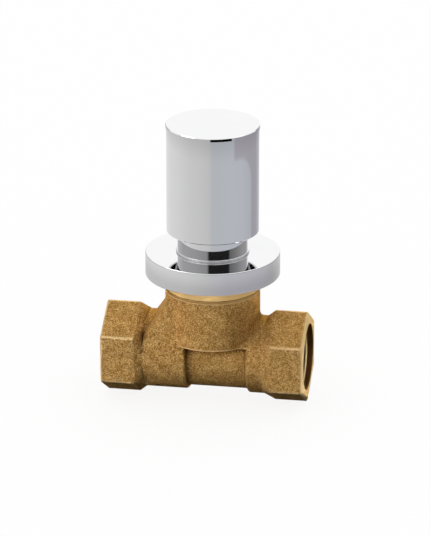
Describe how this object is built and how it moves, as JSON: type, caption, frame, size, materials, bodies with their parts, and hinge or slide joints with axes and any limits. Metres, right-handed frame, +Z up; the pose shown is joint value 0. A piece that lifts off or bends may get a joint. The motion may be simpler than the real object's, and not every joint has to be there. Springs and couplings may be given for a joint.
{
  "type": "concealed shut-off valve",
  "caption": "Concealed screw-down shut-off valve with a cast brass body, female pipe ends, a flat chromed rosette and a chromed cylindrical handle.",
  "frame": {"origin": "centre of the inlet port's mouth, on the pipe axis", "axes": "+X out of the inlet port along the pipe axis, +Z up the spindle towards the handle, +Y away from the viewer of the picture"},
  "size_m": [0.081, 0.0532, 0.1143],
  "materials": {
    "cast_brass": "sand cast, ends and collar machined",
    "turned_brass": "turned",
    "chrome": "polished",
    "steel": "plain",
    "black_rubber": "matt",
    "fibre": "matt",
    "white_plastic": "matt"
  },
  "bodies": {
    "valve": {"valve_body": "cast_brass", "bonnet_gasket": "fibre", "bonnet": "turned_brass", "friction_washer": "white_plastic", "sleeve": "chrome", "rosette": "chrome"},
    "handle": {"spindle": "turned_brass", "spindle_o_ring_lower": "black_rubber", "spindle_o_ring_upper": "black_rubber", "spindle_circlip": "steel", "handle_insert": "white_plastic", "handle_shell": "chrome", "handle_screw": "steel", "handle_cap": "chrome"},
    "disc": {"disc_carrier": "turned_brass", "seat_washer": "black_rubber", "retaining_washer": "steel", "washer_screw": "steel"}
  },
  "joints": [
    {"name": "handle_turn", "type": "hinge", "parent": "valve", "child": "handle", "pos_m": [-0.0384, 0, 0.05], "axis": [0, 0, 1], "range_deg": [0, 900]},
    {"name": "disc_lift", "type": "slide", "parent": "valve", "child": "disc", "axis": [0, 0, 1], "range_m": [0, 0.00501]}
  ],
  "couplings": [
    {"joint": "disc_lift", "follows": "handle_turn", "m_per_rad": 0.00031831}
  ]
}
